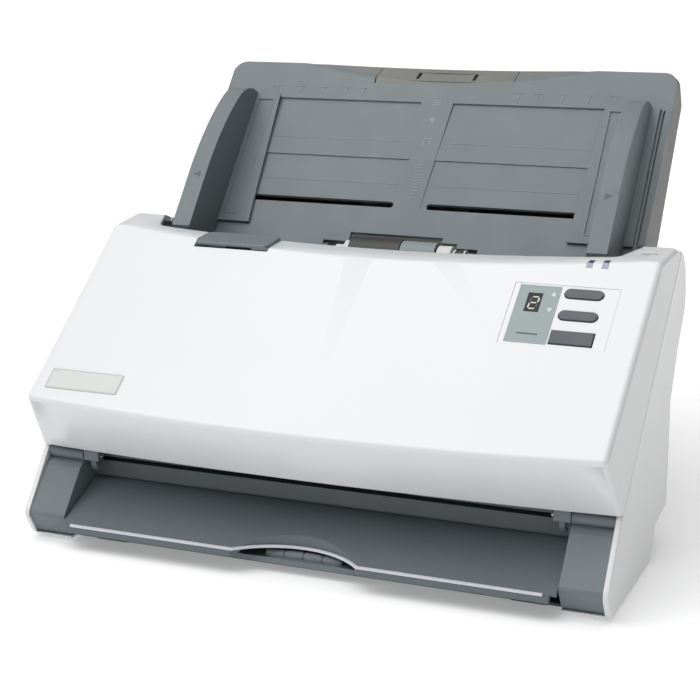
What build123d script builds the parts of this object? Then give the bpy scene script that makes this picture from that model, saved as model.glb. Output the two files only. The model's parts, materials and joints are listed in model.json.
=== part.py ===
"""Sheet fed document scanner: a desktop scanner with a sloping front cover that swings forward,
a detachable paper chute with two coupled guides, and a shallow output tray at the front.

Lengths are in millimetres. X runs from the left side to the right side as the user sees them, Y from
the front to the back and Z up. The outlines below are laid out with Y = 0 at the foot of the side
panels' front edge. save() then moves each piece so that the origin is the middle of the whole
scanner's footprint box, on the surface that it stands on.
"""
from build123d import *
import math
import os

# Overall
WIDTH = 319.0
HALF = WIDTH / 2
PANEL_T = 3.0                 # side panel thickness
PANEL_IN = HALF - PANEL_T     # inner face of a side panel
SHELL_Z = 2.0                 # underside of the side panels
WALL = 2.5                    # moulded walls
GAP = 0.3                     # clearance between pieces that move

# Side panel outline, as (Y, Z)
NOSE = (-8.0, 15.5)
SEAM_START = (16.0, 47.7)     # where the cover meets the panels at the hinge
SEAM_END = (131.0, 156.0)     # where the cover meets the panels at the back
BULGE = [(137.5, 152.5), (143.0, 145.5), (147.0, 130.5), (146.0, 122.5), (131.5, 103.0),
         (118.5, 79.0), (119.5, 56.0), (119.5, 21.0)]
HEEL = [(91.0, 18.0), (91.0, 12.0), (81.0, SHELL_Z)]

# Front cover
SLOPE_FOOT = (-5.8, 79.9)     # lower edge of the slope, at the sides
SLOPE_HEAD = (93.8, 156.4)    # upper edge of the slope, at the sides
HORN_BACK = (123.0, 158.7)
BAND_LEAN = 0.61              # how far the band under the slope goes back for each millimetre down
BAND_BOW = 6.6                # how far the band bows forward in the middle
COVER_FOOT_Z = 48.6           # underside of the cover at the hinge
SIDE_DRAFT = 5.4              # degrees
TROUGH_R = 1812.0             # the lip's long hollow, seen from the front
TROUGH_POINT = (85.0, 149.6)
TROUGH_RISE = 4.5             # degrees, up towards the back
MOUTH_FRONT_Y = 103.0
MOUTH_HALF_FRONT = 133.0
MOUTH_HALF_BACK = 140.5
EDGE_R = 3.0

# Hinge of the cover
HINGE_Y, HINGE_Z = 18.0, 44.0
HINGE_R = 3.4                 # bead on the front posts
POST_IN = 135.0               # inner face of a front post
COVER_SWING = 60.0            # degrees

# Paper chute: a frame with s up along the chute, h out of its face
CHUTE_ANGLE = 50.0
CHUTE_TOP = (215.3, 240.9)
CHUTE_HALF = 137.0
CHUTE_T_TOP, CHUTE_T_FOOT = 20.0, 29.0
PANEL_S_FOOT = -129.0
SHELL_S_FOOT = -112.0
TOP_BAND_S = -25.5
SLOT_S = -96.0
SLOT_W = 4.0
GUIDE_IN = 115.0              # inner face of a guide at rest
GUIDE_T = 11.0
GUIDE_H = 30.8
GUIDE_TRAVEL = 80.0
FOOT_T = 1.5
RACK_MODULE = 1.0
PINION_TEETH = 16
EXT_HALF = 42.5               # pull-out extension of the chute
EXT_TRAVEL = 75.0

# Paper path below the chute: it carries on down the same slope
ROLLER_H = -7.4               # shaft centres below the paper
ROLLER_R = 8.0
SHAFT_R = 3.0
FEED_S, EXIT_S = -158.0, -215.0
PICK_S, PICK_H, PICK_R = -128.0, -1.5, 9.5
SCAN_S = -182.0
PINCH_R = 5.0
PINCH_H = ROLLER_H + ROLLER_R + GAP + PINCH_R
FEED_SPANS = [(-30.0, -8.0), (8.0, 30.0)]
EXIT_SPANS = [(-47.5, -14.5), (14.5, 47.5)]
CHASSIS_IN, CHASSIS_OUT = 135.0, 137.5
MOTOR_Y, MOTOR_Z, MOTOR_R = 90.0, 36.0, 17.0
BELT_T = 1.4
BELT_GAP = 0.2
PULLEY_X = (-147.0, -140.0)
PULLEY_R, MOTOR_PULLEY_R, PICK_PULLEY_R = 8.0, 5.0, 4.2

# Output tray
TRAY_FRONT = (-9.5, 14.0)
TRAY_BACK = (26.5, 29.8)
TRAY_HALF = 134.6
LIP_Y = -11.5
STACKER_HALF = 53.5
STACKER_Z = (5.2, 8.0)
STACKER_TRAVEL = 60.0
STACKER_FRONT = -0.8
GRIP_Y, GRIP_Z, GRIP_R, GRIP_HALF = 4.4, 8.6, 2.9, 21.0

# The chute's back top edge is the rearmost point and the tray's lip the foremost
_A = math.radians(CHUTE_ANGLE)
REAR_Y = CHUTE_TOP[0] + CHUTE_T_TOP * math.sin(_A)
Y_MID = (LIP_Y + REAR_Y) / 2

CHUTE = Plane(origin=(0, *CHUTE_TOP), x_dir=(1, 0, 0), z_dir=(0, -math.sin(_A), math.cos(_A)))
CHUTE_SIDE = Plane(origin=(0, *CHUTE_TOP), x_dir=(0, math.cos(_A), math.sin(_A)), z_dir=(1, 0, 0))
SLOPE_ANGLE = math.atan2(SLOPE_HEAD[1] - SLOPE_FOOT[1], SLOPE_HEAD[0] - SLOPE_FOOT[0])
SLOPE = Plane(origin=(0, *SLOPE_FOOT), x_dir=(1, 0, 0),
              z_dir=(0, -math.sin(SLOPE_ANGLE), math.cos(SLOPE_ANGLE)))
SEAM_ANGLE = math.atan2(SEAM_END[1] - SEAM_START[1], SEAM_END[0] - SEAM_START[0])
SEAM = Plane(origin=(0, *SEAM_START), x_dir=(1, 0, 0),
             z_dir=(0, -math.sin(SEAM_ANGLE), math.cos(SEAM_ANGLE)))


# ---------------------------------------------------------------- helpers
def on_chute(s, h):
    """(Y, Z) of a point given along and out of the chute."""
    return (CHUTE_TOP[0] + s * math.cos(_A) - h * math.sin(_A),
            CHUTE_TOP[1] + s * math.sin(_A) + h * math.cos(_A))


def box(x0, x1, y0, y1, z0, z1):
    return Pos((x0 + x1) / 2, (y0 + y1) / 2, (z0 + z1) / 2) * Box(x1 - x0, y1 - y0, z1 - z0)


def plane_box(plane, x0, x1, y0, y1, z0, z1):
    """A box given in a plane's own directions."""
    return plane.location * box(x0, x1, y0, y1, z0, z1)


def block(plane, points, depth):
    """An outline drawn on a plane and carried along the plane's normal."""
    return extrude(plane * Polygon(*points, align=None), amount=depth, dir=plane.z_dir)


def prism(points, x0, x1, plane=Plane.YZ):
    """A (Y, Z) outline, or an (s, h) one on CHUTE_SIDE, carried from x0 to x1."""
    return block(plane.offset(x0), points, x1 - x0)


def strip(points, thickness):
    """The outline of a wall: the points, then the same line set off to the left by the thickness."""
    normals = []
    for (a, b), (c, d) in zip(points, points[1:]):
        length = math.hypot(c - a, d - b)
        normals.append((-(d - b) / length, (c - a) / length))
    moved = []
    for i, (a, b) in enumerate(points):
        before, after = normals[max(i - 1, 0)], normals[min(i, len(normals) - 1)]
        share = 1 + before[0] * after[0] + before[1] * after[1]
        moved.append((a + thickness * (before[0] + after[0]) / share,
                      b + thickness * (before[1] + after[1]) / share))
    return list(points) + moved[::-1]


def rod(x0, x1, y, z, radius):
    """A round bar along X."""
    return Pos((x0 + x1) / 2, y, z) * Rot(0, 90, 0) * Cylinder(radius, x1 - x0)


def tube(x0, x1, y, z, outer, inner):
    return rod(x0, x1, y, z, outer) - rod(x0 - 1, x1 + 1, y, z, inner)


def both(make):
    """The right-hand piece and its mirror image."""
    right = make()
    return right, mirror(right, about=Plane.YZ)


def rounded(shape, radius, *filters):
    """Rounds the edges that every filter accepts."""
    edges = [e for e in shape.edges() if all(f(e) for f in filters)]
    return fillet(edges, radius) if edges else shape


def along(axis):
    return lambda e: e.geom_type == GeomType.LINE and abs((e @ 1 - e @ 0).normalized().dot(axis)) > 0.999


def gear_outline(teeth, module):
    """A spur gear's outline with short straight-sided teeth and room for running backlash."""
    pitch = math.pi * module
    middle = teeth * module / 2
    points = []
    for i in range(teeth):
        centre = 2 * math.pi * i / teeth
        for radius, half in ((middle - 1.15 * module, -0.36), (middle + 0.75 * module, -0.09),
                             (middle + 0.75 * module, 0.09), (middle - 1.15 * module, 0.36)):
            turn = centre + half * pitch / middle
            points.append((radius * math.sin(turn), radius * math.cos(turn)))
    return points


# ---------------------------------------------------------------- base
def side_panel():
    front = [(0.0, SHELL_Z), NOSE, SEAM_START, SEAM_END]
    plate = prism([*front, *BULGE, *HEEL], PANEL_IN, HALF)
    plate = rounded(plate, 5.0, along(Vector(1, 0, 0)),
                    lambda e: not (abs(e.center().Y - SEAM_START[0]) < 1 and e.center().Z > 40),
                    lambda e: e.center().Y < 90 or 100 < e.center().Z < 150)
    outer = plate.faces().sort_by(Axis.X)[-1]
    plate = fillet(outer.edges(), 1.0)
    back = prism(strip([SEAM_END, *BULGE], -WALL), MOUTH_HALF_BACK - 1, PANEL_IN + 0.5)
    sole = prism([(0.2, SHELL_Z), (26.0, SHELL_Z), (26.0, SHELL_Z + 1.2), (-0.6, SHELL_Z + 1.2)],
                 POST_IN, PANEL_IN + 0.5)
    return plate + back + sole


def rear_cover():
    top = [(147.2, 145.0), *BULGE[3:]]
    shell = prism(strip(top, -WALL), -MOUTH_HALF_BACK + 1.5, MOUTH_HALF_BACK - 1.5)
    for x0, x1, z0, z1 in PORTS.values():
        shell -= box(x0, x1, 110, 125, z0, z1)
    shell -= Pos(POWER_X, 118, POWER_Z) * Rot(90, 0, 0) * Cylinder(POWER_R + 0.4, 20)
    shell -= box(-112, -105, 110, 125, 26, 29)
    for i in range(9):
        shell -= box(-60 + i * 6, -57.5 + i * 6, 110, 125, 58, 72)
    return shell


PORTS = {"usb": (40.0, 52.6, 25.6, 37.2), "power": (66.0, 76.4, 26.0, 36.4)}
POWER_X, POWER_Z, POWER_R = 96.0, 31.0, 5.0
FEET = [(x, y) for x in (-116.0, 116.0) for y in (16.0, 102.0)]
PAN_SCREWS = [(x, y) for x in (-128.0, 128.0) for y in (60.0, 88.0)]
PAN_Z = (2.6, 4.6)


def base_pan():
    pan = box(-PANEL_IN + 0.3, PANEL_IN - 0.3, 27.0, 89.0, *PAN_Z)
    pan += box(-POST_IN + 0.5, POST_IN - 0.5, 4.0, 30.0, *PAN_Z)
    pan += box(-MOUTH_HALF_BACK + 2, MOUTH_HALF_BACK - 2, 86.0, 116.5, *PAN_Z)
    rim = box(-MOUTH_HALF_BACK + 2, MOUTH_HALF_BACK - 2, 114.5, 116.5, PAN_Z[0], 24.0)
    for x in (-40.0, 0.0, 40.0):
        rim += box(x - 1.2, x + 1.2, 95.0, 115.0, PAN_Z[1] - 0.5, 9.0)
    pan += rim
    for x, y in PAN_SCREWS:
        pan -= Pos(x, y, PAN_Z[0]) * Cylinder(3.4, 2.0)
        pan -= Pos(x, y, PAN_Z[0]) * Cylinder(1.6, 10)
    for x, y in FEET:
        pan -= box(x - 10.2, x + 10.2, y - 6.2, y + 6.2, PAN_Z[0] - 1, PAN_Z[0] + 0.8)
    return pan


def rubber_feet():
    pads = []
    for x, y in FEET:
        pad = box(x - 10, x + 10, y - 6, y + 6, 0.0, PAN_Z[0] + 0.8)
        pads.append(rounded(pad, 2.0, along(Vector(0, 0, 1))))
    return pads


def pan_screws():
    screws = []
    for x, y in PAN_SCREWS:
        head = Pos(x, y, 2.95) * Cylinder(3.1, 1.0)
        head -= Pos(x, y, 2.6) * Box(3.6, 0.8, 0.8)
        head -= Pos(x, y, 2.6) * Box(0.8, 3.6, 0.8)
        screws.append(head + Pos(x, y, 6.4) * Cylinder(1.4, 6.2))
    return screws


def front_post():
    outline = [(0.9, SHELL_Z + 1.5), (NOSE[0] + 0.9, NOSE[1] + 0.3), (HINGE_Y - 6.6, HINGE_Z - 6.0),
               (HINGE_Y - 4.0, HINGE_Z - 4.0), (HINGE_Y, HINGE_Z - 2.6), (52.0, HINGE_Z - 2.6),
               (52.0, SHELL_Z + 2.8), (26.3, SHELL_Z + 2.8), (26.3, SHELL_Z + 1.5)]
    inner = [(3.5, 5.0), (NOSE[0] + 4.0, NOSE[1] + 0.8), (HINGE_Y - 5.0, HINGE_Z - 9.0),
             (60.0, HINGE_Z - 9.0), (60.0, SHELL_Z + 5.0), (26.0, 5.0)]
    post = prism(outline, POST_IN, PANEL_IN - 0.1)
    post = rounded(post, 2.5, along(Vector(1, 0, 0)),
                   lambda e: e.center().Y < 1 and e.center().Z < 30)
    post -= prism(inner, POST_IN + 2.0, PANEL_IN + 1)
    post += rod(POST_IN, PANEL_IN - 0.1, HINGE_Y, HINGE_Z, HINGE_R)
    return post - rod(POST_IN - 1, PANEL_IN + 1, HINGE_Y, HINGE_Z, 1.6)


def hinge_pins():
    return both(lambda: rod(POST_IN - 10.5, PANEL_IN - 2, HINGE_Y, HINGE_Z, 1.5))


def tray_point(y):
    """Height of the output tray's surface at a given Y."""
    share = (y - TRAY_FRONT[0]) / (TRAY_BACK[0] - TRAY_FRONT[0])
    return TRAY_FRONT[1] + share * (TRAY_BACK[1] - TRAY_FRONT[1])


SCOOP_R, SCOOP_DEPTH = 47.1, 4.6        # finger notch in the tray's lip


def output_tray():
    floor = prism([TRAY_FRONT, TRAY_BACK, (TRAY_BACK[0], TRAY_BACK[1] - 2.4),
                   (TRAY_FRONT[0] + 2, TRAY_FRONT[1] - 2.0)], -TRAY_HALF, TRAY_HALF)
    lip = prism([(LIP_Y, 9.6), (LIP_Y, 12.9), (LIP_Y + 1.4, 12.9), TRAY_FRONT,
                 (TRAY_FRONT[0] + 3.0, TRAY_FRONT[1] - 1.0), (TRAY_FRONT[0] + 1.0, 9.6)],
                -TRAY_HALF + 3, TRAY_HALF - 3)
    curtain = Pos(0, SCOOP_DEPTH - SCOOP_R, 17) * Cylinder(SCOOP_R + 1.8, 30)
    curtain &= prism([(TRAY_FRONT[0], 12.6), TRAY_FRONT, (TRAY_BACK[0], TRAY_BACK[1] - 0.01),
                      (TRAY_BACK[0], 12.6)], -40, 40)
    tray = floor + lip + curtain
    return tray - Pos(0, SCOOP_DEPTH - SCOOP_R, 12) * Cylinder(SCOOP_R, 30)


def tray_trim():
    """Pale edging along the lip, which follows the finger notch."""
    straight = prism([(LIP_Y - 0.0, 13.1), (LIP_Y, 14.4), (LIP_Y + 1.2, 14.4), (LIP_Y + 1.2, 13.1)],
                     -TRAY_HALF + 6, TRAY_HALF - 6)
    notch = Pos(0, SCOOP_DEPTH - SCOOP_R, 12) * Cylinder(SCOOP_R - 0.6, 30)
    ring = Pos(0, SCOOP_DEPTH - SCOOP_R, 13.75) * (Cylinder(SCOOP_R - 0.05, 1.3) - Cylinder(SCOOP_R - 1.2, 5))
    ring &= box(-60, 60, LIP_Y, 20, 0, 40)
    return (straight - notch) + ring


def path_wall(points, thickness, x_half):
    """A wall given by (s, h) points on the paper path, then (Y, Z) points."""
    return prism(strip(points, thickness), -x_half, x_half)


def roller_windows(h0, h1, clearance):
    """Openings over the feed and exit rollers."""
    cuts = []
    for s, spans in ((FEED_S, FEED_SPANS), (EXIT_S, EXIT_SPANS)):
        for x0, x1 in spans:
            cuts.append(plane_box(CHUTE, x0 - 1.5, x1 + 1.5, s - clearance, s + clearance, h0, h1))
    return cuts


def lower_guide():
    run = [on_chute(PANEL_S_FOOT - 1.0, 0.0), on_chute(-246.0, 0.0), (45.0, 40.8), (28.0, 38.5),
           (28.0, 28.6)]
    plate = path_wall(run, 2.2, CHASSIS_IN)
    for cut in roller_windows(-5.0, 3.0, 7.5):
        plate -= cut
    plate -= plane_box(CHUTE, -113, 113, SCAN_S - 9.0, SCAN_S + 9.0, -6, 3)
    plate -= plane_box(CHUTE, -38, 41.5, PICK_S - 11.5, PICK_S + 20, -6, 3)
    plate -= plane_box(CHUTE, PICK_PULLEY_X[0] - 2, PICK_PULLEY_X[1] + 2, FEED_S - 8, PICK_S, -6, 3)
    for i in range(7):
        x = -96 + i * 32
        plate += plane_box(CHUTE, x - 0.8, x + 0.8, -243.0, EXIT_S - 12, -2.4, -0.0)
    for piece in pick_bearings() + chute_sockets():
        plate += piece
    return plate


def chassis_plate():
    outline = [(53.0, 6.0), (112.5, 6.0), (113.5, 78.0), (127.0, 104.0), (138.0, 121.0),
               (136.5, 128.0), on_chute(-139.0, -2.6), on_chute(-244.0, -2.6), (53.0, 43.0)]
    plate = prism(outline, CHASSIS_IN, CHASSIS_OUT)
    plate += box(121.0, CHASSIS_OUT, 53.0, 112.5, PAN_Z[1], PAN_Z[1] + 2.5)
    for s in (FEED_S, EXIT_S):
        plate -= rod(CHASSIS_IN - 1, CHASSIS_OUT + 1, *on_chute(s, ROLLER_H), 5.0)
    for x, y in PAN_SCREWS[2:]:
        plate -= Pos(x, y, 6) * Cylinder(1.45, 20)
    return plate


def chassis_plates():
    right, left = both(chassis_plate)
    return right, left - rod(-CHASSIS_OUT - 1, -CHASSIS_IN + 1, MOTOR_Y, MOTOR_Z, 8.0)


def shaft_bushes():
    bushes = []
    for s in (FEED_S, EXIT_S):
        for side in (-1, 1):
            x0, x1 = sorted((side * (CHASSIS_IN - 1.0), side * (CHASSIS_OUT + 0.1)))
            ring = tube(x0, x1, *on_chute(s, ROLLER_H), 4.95, SHAFT_R + 0.06)
            f0, f1 = sorted((side * (CHASSIS_OUT + 0.05), side * (CHASSIS_OUT + 1.2)))
            bushes.append(ring + tube(f0, f1, *on_chute(s, ROLLER_H), 6.5, SHAFT_R + 0.06))
    return bushes


def pick_bearings():
    """Two ears behind the paper guide that carry the short pick shaft."""
    y, z = on_chute(PICK_S, PICK_H)
    ears = []
    for x in (-43.0, 43.0):
        outline = [on_chute(PICK_S + 3, -3.0), on_chute(PICK_S - 2, -9.0), on_chute(-146.0, -7.0),
                   on_chute(-146.0, -1.2), on_chute(PICK_S - 3.5, -1.2)]
        ear = prism(outline, x - 1.5, x + 1.5) + rod(x - 1.5, x + 1.5, y, z, 4.4)
        ears.append(ear - rod(x - 3, x + 3, y, z, 2.06))
    return ears


def scan_unit(side):
    """Contact image sensor: housing and glass, below (side -1) or above (side 1) the paper."""
    def h(a, b):
        return sorted((side * a, side * b))
    lift = 0.3 if side > 0 else 0.0
    h0, h1 = h(2.6, 15.0)
    body = plane_box(CHUTE, -116, 116, SCAN_S - 12, SCAN_S + 12, h0 + lift, h1 + lift)
    c0, c1 = h(2.0, 9.0)
    body -= plane_box(CHUTE, -110, 110, SCAN_S - 6, SCAN_S + 6, c0 + lift, c1 + lift)
    g0, g1 = h(0.6, 2.5)
    glass = plane_box(CHUTE, -112, 112, SCAN_S - 8.5, SCAN_S + 8.5, g0 + lift, g1 + lift)
    return body, glass


def main_board():
    board = box(20, 120, 109.4, 111.0, 12, 72)
    for x0, x1, z0, z1 in ((30, 44, 48, 62), (60, 70, 50, 60), (84, 92, 44, 64), (100, 112, 50, 56)):
        board += box(x0, x1, 107.4, 109.6, z0, z1)
    return board


def port_shell(name, depth_y, hollow):
    x0, x1, z0, z1 = PORTS[name]
    x0, x1, z0, z1 = x0 + 0.3, x1 - 0.3, z0 + 0.3, z1 - 0.3
    shell = box(x0, x1, 111.1, depth_y, z0, z1)
    if hollow == "round":
        axis = Pos((x0 + x1) / 2, 118, (z0 + z1) / 2) * Rot(90, 0, 0)
        pin = Pos((x0 + x1) / 2, 113.8, (z0 + z1) / 2) * Rot(90, 0, 0) * Cylinder(1.0, 2.0)
        return shell - axis * Cylinder(3.4, 10) + pin
    shell -= box(x0 + 1.2, x1 - 1.2, 113, 125, z0 + 1.2, z1 - 1.2)
    return shell + box(x0 + 3.4, x1 - 3.4, 112.5, 114.8, z0 + 4.2, z1 - 4.2)


def drive_motor():
    can = rod(-CHASSIS_IN + 0.1, -108.0, MOTOR_Y, MOTOR_Z, MOTOR_R)
    can += rod(-CHASSIS_OUT - 0.5, -CHASSIS_IN + 0.2, MOTOR_Y, MOTOR_Z, 7.5)
    can += rod(-108.1, -105.5, MOTOR_Y, MOTOR_Z, 6.0)
    return can - rod(-CHASSIS_OUT - 2, -110.0, MOTOR_Y, MOTOR_Z, 1.55)


def belt(circles, x0, x1):
    """A flat belt round circles given as (Y, Z, radius)."""
    outer = make_hull([Pos(y, z) * e for y, z, r in circles for e in Circle(r + BELT_GAP + BELT_T).edges()])
    inner = make_hull([Pos(y, z) * e for y, z, r in circles for e in Circle(r + BELT_GAP).edges()])
    return extrude(Plane.YZ.offset(x0) * (outer - inner), amount=x1 - x0, dir=(1, 0, 0))


def pulley(x0, x1, y, z, radius, bore):
    wheel = rod(x0, x1, y, z, radius)
    wheel += rod(x0 - 0.8, x0, y, z, radius + 1.6) + rod(x1, x1 + 0.8, y, z, radius + 1.6)
    return wheel - rod(x0 - 3, x1 + 3, y, z, bore)


# ---------------------------------------------------------------- shafts and rollers
def roller_set(s, spans):
    """Shaft with its pressed-on pulley, and the rubber rollers on it."""
    y, z = on_chute(s, ROLLER_H)
    shaft = rod(PULLEY_X[0] - 2.0, CHASSIS_OUT + 3.0, y, z, SHAFT_R)
    rubber = [tube(x0, x1, y, z, ROLLER_R, SHAFT_R + 0.02) for x0, x1 in spans]
    wheel = pulley(PULLEY_X[0], PULLEY_X[1], y, z, PULLEY_R, SHAFT_R + 0.02)
    return [shaft, wheel], rubber


PICK_PULLEY_X = (34.8, 39.8)


def pick_set():
    y, z = on_chute(PICK_S, PICK_H)
    shaft = rod(-45.5, 45.5, y, z, 2.0)
    rubber = tube(-26.5, 3.5, y, z, PICK_R, 6.0)
    hub = tube(-27.0, 24.0, y, z, 5.95, 2.02) + tube(3.8, 24.0, y, z, 8.8, 5.0)
    wheel = pulley(*PICK_PULLEY_X, y, z, PICK_PULLEY_R, 2.02) + tube(25.0, 34.4, y, z, 4.6, 2.02)
    wheel += tube(25.0, 32.8, y, z, 7.4, 2.02)
    collar = tube(-30.4, -27.6, y, z, 7.0, 2.02) + tube(-36.5, -30.0, y, z, 4.4, 2.02)
    return shaft, rubber, hub, [wheel, collar]


def motor_pulley():
    wheel = pulley(PULLEY_X[0], PULLEY_X[1], MOTOR_Y, MOTOR_Z, MOTOR_PULLEY_R, 1.0)
    return wheel + rod(-150.0, -115.0, MOTOR_Y, MOTOR_Z, 1.5)


def pinch_rollers(s, spans):
    y, z = on_chute(s, PINCH_H)
    return [tube(x0 + 3, x1 - 3, y, z, PINCH_R, 1.56) for x0, x1 in spans]


def pinch_shafts():
    return [rod(-56.0, 56.0, *on_chute(s, PINCH_H), 1.5) for s in (FEED_S, EXIT_S)]


# ---------------------------------------------------------------- front cover
def cover_block(inset, seam_offset):
    """The cover's outer form, or its hollow if inset is a wall thickness."""
    half = HALF - inset
    base = SEAM.offset(seam_offset) * Pos(0, 60) * Rectangle(2 * half, 260)
    body = extrude(base, amount=70 - seam_offset, taper=SIDE_DRAFT)
    drop = inset / math.cos(SLOPE_ANGLE)
    rise = math.tan(SLOPE_ANGLE)
    side = prism([(-25.0, COVER_FOOT_Z - 2 * inset), (-25.0, SLOPE_FOOT[1] - drop - rise * (25 + SLOPE_FOOT[0])),
                  (SLOPE_HEAD[0], SLOPE_HEAD[1] - drop), (HORN_BACK[0] - inset, HORN_BACK[1] - inset),
                  (SEAM_END[0] - inset, SEAM_END[1] - inset), (SEAM_END[0] - inset, COVER_FOOT_Z - 2 * inset)],
                 -HALF - 5, HALF + 5)
    reach = 90.0
    chord = 170.0
    middle = SLOPE_FOOT[0] - BAND_BOW + 1.17 * inset
    edge = middle + chord ** 2 / (2 * 155.5 ** 2 / (2 * BAND_BOW))
    plan = make_face([ThreePointArc((-chord, edge), (0, middle), (chord, edge)),
                      Polyline((chord, edge), (chord, 320), (-chord, 320), (-chord, edge))])
    start = Pos(0, -BAND_LEAN * reach, SLOPE_FOOT[1] + reach) * plan
    band = extrude(start, amount=140 * math.hypot(1, BAND_LEAN), dir=(0, BAND_LEAN, -1))
    solid = body & side & band
    rise = math.radians(TROUGH_RISE)
    trough = Pos(0, TROUGH_POINT[0] - TROUGH_R * math.sin(rise),
                 TROUGH_POINT[1] + TROUGH_R * math.cos(rise))
    trough = trough * Rot(90 + TROUGH_RISE, 0, 0) * Cylinder(TROUGH_R + inset, 500)
    return solid - trough


def mouth(z0, z1, grow=0.0):
    """The opening between the cover's horns, where the chute stands."""
    plan = [(-MOUTH_HALF_FRONT - grow, MOUTH_FRONT_Y - grow), (MOUTH_HALF_FRONT + grow, MOUTH_FRONT_Y - grow),
            (MOUTH_HALF_BACK + grow, HORN_BACK[0]), (MOUTH_HALF_BACK + grow, 190),
            (-MOUTH_HALF_BACK - grow, 190), (-MOUTH_HALF_BACK - grow, HORN_BACK[0])]
    cut = block(Plane.XY.offset(z0), plan, z1 - z0)
    return rounded(cut, 6.0, along(Vector(0, 0, 1)), lambda e: e.center().Y < 110)


PANEL_X, PANEL_T_SPAN = (86.0, 140.5), (65.0, 105.5)       # recess of the control panel, on the slope
LABEL_X, LABEL_SPAN = (89.0, 110.6), (66.6, 104.2)
DIGIT_X, DIGIT_SPAN = (94.4, 102.0), (86.6, 99.2)
BUTTONS = {"up_button": (122.7, 100.3, 20.0, 6.2), "down_button": (122.7, 86.0, 20.0, 6.2),
           "scan_button": (122.7, 71.5, 21.8, 8.6)}
LEDS = [(119.4, 122.6), (127.4, 130.8)]
LED_SPAN = (118.4, 122.6)
PLATE_X, PLATE_SPAN = (-148.0, -105.0), (7.5, 20.5)
LATCH_X, LATCH_Y = (-101.0, -57.0), (84.5, 104.6)
LATCH_TRAVEL = 2.5
BUTTON_TRAVEL = 0.8


def lip_z(x, y):
    """Height of the cover's lip."""
    return (TROUGH_POINT[1] + x * x / (2 * TROUGH_R)
            + (y - TROUGH_POINT[0]) * math.tan(math.radians(TROUGH_RISE)))


def front_cover():
    outer = cover_block(0.0, 0.5)
    def sharp(e):
        c = e.center()
        top_side = abs(abs(c.X) - 156) < 4 and c.Z > 90
        foot = c.Z > 70 and c.Y < 5
        corner = abs(abs(c.X) - 156) < 6 and 49 < c.Z < 80 and c.Y < 20
        return (top_side or foot or corner) and abs((e @ 1 - e @ 0).length) > 6
    rims = [e for e in outer.edges() if sharp(e) and not lies_on_seam(e)]
    outer = fillet(rims, EDGE_R)
    shell = outer - cover_block(WALL, -12.0)
    shell -= mouth(120, 200)
    shell -= plane_box(SLOPE, *PANEL_X, *PANEL_T_SPAN, -0.9, 5)
    shell -= plane_box(SLOPE, PANEL_X[0] + 1.5, PANEL_X[1] - 1.5, PANEL_T_SPAN[0] + 1.5, PANEL_T_SPAN[1] - 1.5, -9, 5)
    for x0, x1 in LEDS:
        shell -= plane_box(SLOPE, x0, x1, LED_SPAN[0], LED_SPAN[1] + 4, -6, 5)
    shell -= box(LATCH_X[0] - 0.4, LATCH_X[1] + 0.4, LATCH_Y[0] - 0.4, LATCH_Y[1] + 5, 145.8, 165)
    shell -= box(MOUTH_HALF_BACK + 3, MOUTH_HALF_BACK + 11, 107.5, 109.5, 150, 165)
    return shell


def lies_on_seam(e):
    local = SEAM.to_local_coords(e.center())
    return local.Z < 1.5


def stadium(x, t, width, height, h0, h1):
    return SLOPE.location * Pos(x, t, h0) * extrude(SlotOverall(width, height), amount=h1 - h0)


def button_shape(name, grow, h0, h1):
    x, t, width, height = BUTTONS[name]
    if name == "scan_button":
        return plane_box(SLOPE, x - width / 2 - grow, x + width / 2 + grow,
                         t - height / 2 - grow, t + height / 2 + grow, h0, h1)
    return stadium(x, t, width + 2 * grow, height + 2 * grow, h0, h1)


def control_bezel():
    plate = plane_box(SLOPE, PANEL_X[0] + 0.15, PANEL_X[1] - 0.15, PANEL_T_SPAN[0] + 0.15,
                      PANEL_T_SPAN[1] - 0.15, -0.85, -0.15)
    plate += plane_box(SLOPE, PANEL_X[0] + 1.8, PANEL_X[1] - 1.8, PANEL_T_SPAN[0] + 1.8,
                       PANEL_T_SPAN[1] - 1.8, -2.4, -0.8)
    for name in BUTTONS:
        plate -= button_shape(name, GAP, -5, 3)
    return plate - plane_box(SLOPE, LABEL_X[0] - 0.1, LABEL_X[1] + 0.1, LABEL_SPAN[0] - 0.1,
                             LABEL_SPAN[1] + 0.1, -0.9, 3)


def display_label():
    plate = plane_box(SLOPE, *LABEL_X, *LABEL_SPAN, -0.75, 0.0)
    return plate - plane_box(SLOPE, *DIGIT_X, *DIGIT_SPAN, -2, 3)


def digit_display():
    return plane_box(SLOPE, DIGIT_X[0] + 0.1, DIGIT_X[1] - 0.1, DIGIT_SPAN[0] + 0.1, DIGIT_SPAN[1] - 0.1, -0.75, -0.35)


def button(name):
    cap = button_shape(name, 0.0, -3.6, 0.7)
    cap = fillet(cap.faces().sort_by(Axis((0, 0, 0), SLOPE.z_dir))[-1].edges(), 0.5)
    return cap + button_shape(name, 1.1, -4.2, -3.4)


def led_lenses():
    return [plane_box(SLOPE, x0 + 0.15, x1 - 0.15, LED_SPAN[0] + 0.15, lens_end(x0), -2.8, 0.05)
            for x0, x1 in LEDS]


def lens_end(x):
    """How far up the slope a lens runs before the lip falls away."""
    return 122.6 if x > 125 else 121.8


def name_plate():
    return rounded(plane_box(SLOPE, *PLATE_X, *PLATE_SPAN, 0.02, 0.35), 1.0, along(SLOPE.z_dir))


def button_board():
    return plane_box(SLOPE, 88, 139, 63, 107, -8.4, -6.8)


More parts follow.
